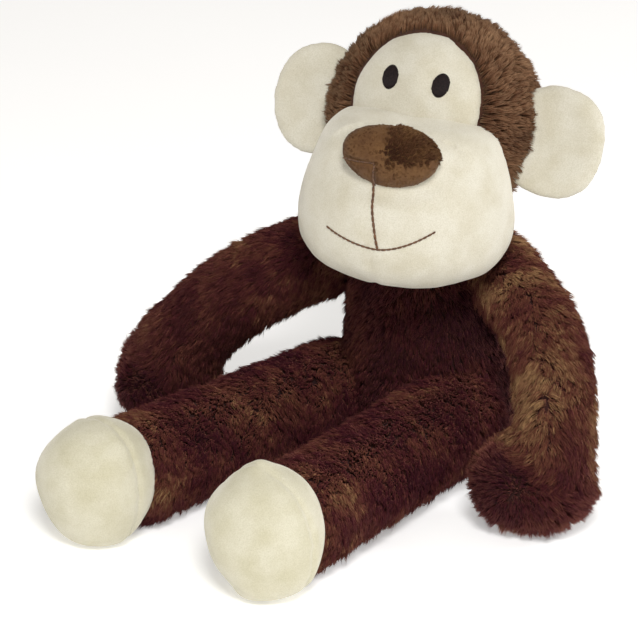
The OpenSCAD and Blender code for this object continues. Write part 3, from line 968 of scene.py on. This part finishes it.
def make_hood():
    hood = ball("hood_fabric", (0, 0, 0), (HEAD_R, HEAD_R, HEAD_R), lit_hood_backing, 64)
    remesh(hood, 5.0)
    inflate(hood, 2.0)
    relax(hood, 2)
    subdivide(hood)
    v = points_of(hood)
    # Inside the face window the hood drops away behind the face panel
    sink = 5.0 * (1 - smoothstep(window_edge(v), -5.0, -1.5))
    v = v - unit(v) * sink[:, None]
    set_points(hood, in_head(v))

    def comb(points, normals):
        p = to_head(points)
        away = unit(p - np.array([0, -60.0, 4.0]))
        down = np.tile([0, 0.15, -1.0], (len(p), 1))
        behind = smoothstep(p[:, 1], -5, 45)[:, None]
        crown = smoothstep(p[:, 2], 25, 55)[:, None]
        lifted = away + np.array([0, 0, 0.5]) * crown * (1 - behind)
        return (lifted * (1 - 0.75 * behind) + down * behind * 0.9) @ HEAD.T

    for number, (name, sign) in enumerate((("hood_left_pile", 1), ("hood_right_pile", -1))):
        def keep(points, s=sign):
            p = to_head(points)
            return (p[:, 0] * s > 0) & (window_edge(p) > -0.6) & ~in_muzzle(p)

        fur = grow(name, hood, 2.4, comb, lit_hood_pile, length=8.0, lean=(27, 55), clump=8, hold=0.5,
                   seed=600 + number, limit=19500, keep=keep, sag=0.05, spread=0.9)
        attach(fur, "head")
    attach(hood, "head")
    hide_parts("hood_left_panel", "hood_right_panel", "head_stuffing")


EYE_MIDDLE, EYE_OUT, EYE_UP = -2.0, 15.3, 30.0
EYE_WIDE, EYE_TALL = 4.7, 6.6


def make_face():
    rings, around = 26, 72
    verts = []
    for i in range(rings + 1):
        t = i / rings
        for j in range(around):
            a = 2 * math.pi * j / around
            r = t * (WINDOW_R + 0.5)
            x, z = WINDOW_X + r * math.cos(a), WINDOW_UP + r * math.sin(a)
            if math.sin(a) < 0:
                # Below its arch the panel has straight sides
                x = WINDOW_X + r * math.copysign(abs(math.cos(a)) ** 0.3, math.cos(a))
            bulge = HEAD_R + 1.6 * (1 - t ** 4) - 1.9 * max(0, t - 0.93) / 0.07
            y = -math.sqrt(max(bulge ** 2 - x * x - z * z, 1))
            verts.append([x, y, z])
    v = np.array(verts)
    for x in (EYE_MIDDLE - EYE_OUT, EYE_MIDDLE + EYE_OUT):
        near = np.hypot(v[:, 0] - x, (v[:, 2] - EYE_UP) * 0.8)
        v = v - unit(v) * (1.5 * bell(near, 9))[:, None]
    v = v + unit(v) * (0.5 * cloud(v, 13, 41))[:, None]
    face = mesh_object("face_fabric", in_head(v), ring_faces(rings + 1, around), cream_velour)
    bm = bmesh.new()
    bm.from_mesh(face.data)
    bmesh.ops.remove_doubles(bm, verts=bm.verts, dist=0.00002)
    bmesh.ops.recalc_face_normals(bm, faces=bm.faces)
    bm.to_mesh(face.data)
    bm.free()
    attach(face, "head")
    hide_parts("face_panel")
    return face


def make_muzzle():
    muzzle = turned("muzzle_fabric", MUZZLE_PROFILE, cream_velour, 72, muzzle_place)
    carve(muzzle, ball("throat", THROAT_AT, (THROAT_R,) * 3, cream_velour, 72))
    carve(muzzle, ball("skull", (0, 0, 0), (HEAD_R - 5,) * 3, cream_velour, 72))
    remesh(muzzle, 4.0)
    v = points_of(muzzle)
    from_skull = np.linalg.norm(v, axis=1) - HEAD_R
    from_throat = np.linalg.norm(v - THROAT_AT, axis=1) - THROAT_R
    pinned = np.maximum(1 - smoothstep(from_skull, 0.5, 6), 1 - smoothstep(from_throat, 1, 6))
    inflate(muzzle, 3.5, pinned=pinned)
    relax(muzzle, 2)
    subdivide(muzzle)
    v = points_of(muzzle)
    middle = np.array([0, -46.0, -40.0])
    outward = unit(v - middle)
    # The chin seam below the smile, the dent round the nose and soft folds
    chin = 1.1 * bell(v[:, 0] + 3, 1.7) * smoothstep(-v[:, 2], 58, 66) * (v[:, 1] < -60)
    nose_near = np.hypot((v[:, 0] - NOSE_AT[0]) / 33, (v[:, 2] - NOSE_AT[2]) / 22)
    dent = 2.2 * bell(nose_near - 1, 0.22) * (v[:, 1] < -80)
    folds = 1.2 * cloud(v * [1, 1, 0.7], 26, 51) + 0.45 * cloud(v, 11, 52)
    v = v + outward * (folds - chin - dent)[:, None]
    set_points(muzzle, in_head(v))
    subdivide(muzzle)
    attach(muzzle, "head")
    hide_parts("muzzle_left_panel", "muzzle_right_panel", "muzzle_stuffing")
    return muzzle


NOSE_AT = np.array([0.5, -101.6, -4.2])
NOSE_HALF = np.array([29.0, 12.2, 18.0])


def make_nose():
    nose = ball("nose_fabric", NOSE_AT, NOSE_HALF, nose_backing, 64)
    remesh(nose, 2.6)
    inflate(nose, 1.2)
    relax(nose, 1)
    subdivide(nose)
    v = points_of(nose) - NOSE_AT
    outward = unit(v / NOSE_HALF ** 2)
    # A T-shaped seam: across to the right from a junction left of the middle, and down
    junction = np.array([-6.0, -3.0])
    right_of, above = v[:, 0] - junction[0], v[:, 2] - junction[1]
    upright = bell(right_of - 0.06 * above, 1.3) * (1 - smoothstep(above, -1, 2))
    level = bell(above - 0.05 * v[:, 0], 1.2) * (1 - smoothstep(right_of, -1, 2))
    front = smoothstep(-v[:, 1], 2, 6)
    v = v - outward * (1.3 * np.maximum(upright, level) * front)[:, None]
    v[:, 2] += 1.2 * np.abs(v[:, 0] / 29) ** 2
    set_points(nose, in_head(v + NOSE_AT))

    def off_seam(points):
        p = to_head(points) - NOSE_AT
        seam = (np.abs(p[:, 0] - junction[0]) < 0.8) & (p[:, 2] < junction[1])
        seam |= (np.abs(p[:, 2] - junction[1]) < 0.8) & (p[:, 0] < junction[0])
        return (p[:, 1] < 6) & ~seam

    def rubbed(points):
        """How far the pile has been rubbed up: right of the seam and above the middle."""
        p = to_head(points) - NOSE_AT + 3 * cloud_vectors(to_head(points), 7, 71)
        return smoothstep(p[:, 0], -2.5, 0.5) * smoothstep(p[:, 2] - 0.2 * p[:, 0], -4.5, -1.5)

    def local(points):
        up = rubbed(points)
        return 0.42 + 0.78 * up, 0.14 - 0.32 * up, 0

    def comb(points, normals):
        p = to_head(points) - NOSE_AT
        up = rubbed(points)[:, None]
        away = unit(p - np.array([-8.0, 0, -6.0]) + 6 * cloud_vectors(p, 8, 72))
        return ((1 - up) * np.array([-0.3, 0, -1.0]) + up * away) @ HEAD.T

    pile = grow("nose_pile", nose, 4.8, comb, nose_pile, length=3.2, width=0.22, lean=(38, 64),
                clump=3, tone=0.55, patch=9, hold=0.45, seed=700, limit=19500, sag=0, spread=0.5,
                keep=off_seam, local=local, vary=0.3)
    across = [(x, NOSE_AT[2] + junction[1] + 0.06 * x) for x in np.linspace(-27, -5.5, 24)]
    corner = NOSE_AT[[0, 2]] + junction
    upright_line = [(corner[0] - 0.3 * math.sin(t * 3), corner[1] - 14 * t)
                    for t in np.linspace(0, 1, 20)]
    surface = tree_of(nose)
    seams = [stitch_row("nose_seam_across", surface, across, 0.42, 3.2, brown_thread, lift=0.7),
             stitch_row("nose_seam_upright", surface, upright_line, 0.5, 3.2, brown_thread, lift=0.8)]
    for obj in (nose, pile):
        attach(obj, "head")
    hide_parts("nose_cover", "nose_padding")


def on_surface(tree, x, z, lift=0.0, start=-200.0):
    """Where a head-frame line from the front meets a surface, and the normal there."""
    origin = in_head(np.array([x, start, z]))
    hit, normal, _, _ = tree.ray_cast(Vector(origin), Vector(HEAD[:, 1]))
    if hit is None:
        return None, None
    normal = np.array(normal)
    if normal @ HEAD[:, 1] > 0:
        normal = -normal
    return np.array(hit) + lift * normal, normal


def add_stitch(verts, faces, path, side, over, radii):
    """Adds one closed, rounded thread along a path to a mesh's points and faces."""
    base, around = len(verts), 8
    for centre, s, o, r in zip(path, side, over, radii):
        for j in range(around):
            a = 2 * math.pi * j / around
            verts.append(centre + r * (math.cos(a) * s + math.sin(a) * o))
    faces += ring_faces(len(path), around, base)
    faces.append([base + j for j in reversed(range(around))])
    faces.append([base + (len(path) - 1) * around + j for j in range(around)])


def stitch_row(name, tree, line, thick, stitch, material, lift=0.1):
    """Backstitches along a head-frame (x, z) line that lies on a surface."""
    points, normals = [], []
    for x, z in line:
        p, n = on_surface(tree, x, z)
        if p is not None:
            points.append(p)
            normals.append(n)
    points, normals = np.array(points), np.array(normals)
    run = distance_along(points)
    verts, faces, steps = [], [], 7
    for first in np.arange(0, run[-1] - 0.5 * stitch, stitch * 0.92):
        s = np.linspace(first, min(first + stitch, run[-1]), steps)
        path = np.stack([np.interp(s, run, points[:, k]) for k in range(3)], axis=1)
        normal = unit(np.stack([np.interp(s, run, normals[:, k]) for k in range(3)], axis=1))
        arch = np.sin(np.linspace(0, math.pi, steps))
        path = path + normal * (lift + 0.55 * thick * (arch - 0.55))[:, None]
        way = unit(np.gradient(path, axis=0))
        side = unit(np.cross(normal, way))
        radii = thick * (0.45 + 0.55 * arch ** 0.5)
        add_stitch(verts, faces, path, side, np.cross(way, side), radii)
    row = mesh_object(name, np.array(verts), faces, material)
    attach(row, "head")
    return row


def make_mouth(muzzle):
    tree = tree_of(muzzle)
    t = np.linspace(-1, 1, 60)
    half, middle, low = 32.0, -0.5, -57.8
    rise = np.where(t < 0, 6.5, 14.0)
    smile = np.stack([middle + half * t, low + rise * np.abs(t) ** 1.8], axis=1)
    mouth = stitch_row("mouth_stitches", tree, smile, 0.62, 3.4, brown_thread)
    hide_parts("mouth_stitch")
    down = np.linspace(0, 1, 40)
    philtrum = np.stack([-7.0 + 8.0 * down ** 1.6, -19 + (low + 19.3) * down], axis=1)
    line = stitch_row("philtrum_stitches", tree, philtrum, 0.85, 3.8, brown_thread)
    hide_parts("philtrum_stitch")


def make_eye(side, face_tree):
    """A domed oval of upright satin stitches."""
    sign = 1 if side == "left" else -1
    rows, steps = 15, 9
    verts, faces = [], []
    for row in range(rows):
        across = (row + 0.5) / rows * 2 - 1
        tall = EYE_TALL * math.sqrt(1 - (0.97 * across) ** 2)
        x = EYE_MIDDLE + sign * EYE_OUT + EYE_WIDE * across
        path, over, radii = [], [], []
        for s in np.linspace(-1, 1, steps):
            p, n = on_surface(face_tree, x, EYE_UP + tall * s)
            dome = 1.1 * (1 - (across ** 2 + (s * tall / EYE_TALL) ** 2)) if abs(s) < 1 else 0
            path.append(p + n * (0.1 + max(dome, 0) - 0.3 * (abs(s) == 1)))
            over.append(n)
            radii.append(0.52 if abs(s) < 1 else 0.3)
        add_stitch(verts, faces, path, [-HEAD[:, 0]] * steps, over, radii)
    eye = mesh_object(side + "_eye_stitches", np.array(verts), faces, eye_thread)
    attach(eye, "head")
    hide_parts(side + "_eye")


# ---------------------------------------------------------------- ears

def make_ear(side):
    sign = 1 if side == "left" else -1
    nodes = [f"{side}_ear_{p}" for p in ("front_panel", "back_panel", "padding")]
    middle = np.array([72.5, EAR_HINGE[1], EAR_HINGE[2]] if side == "left" else
                      [67.0, EAR_HINGE[1], EAR_HINGE[2] + 3])

    def place(v):
        # The lens stands across the head, its rim in the head's x and z
        q = np.stack([v[:, 0], v[:, 2], v[:, 1]], axis=1)
        return (middle + q) * [sign, 1, 1]

    profile = []
    for i in range(17):
        a = -math.pi / 2 + math.pi * i / 16
        profile.append((max(34.5 * math.cos(a) ** 0.5, 0.5), 5.4 * math.sin(a)))
    ear = turned(side + "_ear_fabric", profile, cream_velour, 64, place)
    remesh(ear, 2.4)
    v = points_of(ear)
    rim = np.hypot(v[:, 0] * sign - middle[0], v[:, 2] - middle[2])
    inflate(ear, 2.2, pinned=smoothstep(rim, 29, 32.5) * 0.9, pressure=3)
    relax(ear, 2)
    subdivide(ear)
    v = points_of(ear)
    out = v[:, 0] * sign - middle[0]
    # The outline is a little squared, as cut and sewn
    corner = np.cos(4 * (np.arctan2(v[:, 2] - middle[2], out) - 0.75))
    square = 1 + (0.035 if side == "left" else 0.015) * corner
    v[:, 2] = middle[2] + (v[:, 2] - middle[2]) * square
    out = out * square * (1 if side == "left" else 0.93)
    v[:, 0] = sign * (middle[0] + out)
    rim = np.hypot(out, v[:, 2] - middle[2])
    # The root is gathered into the head, and the rim curls forwards a little
    pinch = 1 - 0.12 * (1 - smoothstep(out, -22, 2))
    v[:, 2] = middle[2] + (v[:, 2] - middle[2]) * pinch
    v[:, 1] -= 3.0 * smoothstep(rim, 12, 34) * smoothstep(out, -8, 20)
    v[:, 1] += 2.4 * bell(rim, 15) * (v[:, 1] < EAR_HINGE[1])
    # The lower end of its seam is sewn on further forward
    v[:, 1] += -2 + 0.2 * (v[:, 2] - middle[2]) + 0.08 * (out + 20)
    v[:, 1] += 0.8 * cloud(v, 18, 61 if side == "left" else 62)
    set_points(ear, in_head(v))
    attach(ear, side + "_ear")
    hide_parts(*nodes)


# ---------------------------------------------------------------- the whole toy

for name in ("left", "right"):
    make_arm(name)
    make_leg(name)
    make_foot(name)
    make_ear(name)
make_torso()
make_hood()
face_piece = make_face()
muzzle_piece = make_muzzle()
make_nose()
make_mouth(muzzle_piece)
face_surface = tree_of(face_piece)
make_eye("left", face_surface)
make_eye("right", face_surface)

# ---------------------------------------------------------------- floor

bpy.ops.mesh.primitive_plane_add(size=12, location=(0, 0, -0.0002))
floor = bpy.context.object
floor.name = "floor"
floor_material = Material("floor_paper", roughness=0.95, sheen=0.0, specular=0.1)
floor_material.shader.inputs["Emission Color"].default_value = (1, 1, 1, 1)
floor_material.shader.inputs["Emission Strength"].default_value = 0.36
floor_material.colour(floor_material.ramp(
    floor_material.noise(3, 2), [(0.3, (0.93, 0.93, 0.93, 1)), (0.7, (0.95, 0.95, 0.95, 1))]))
floor.data.materials.append(floor_material.material)
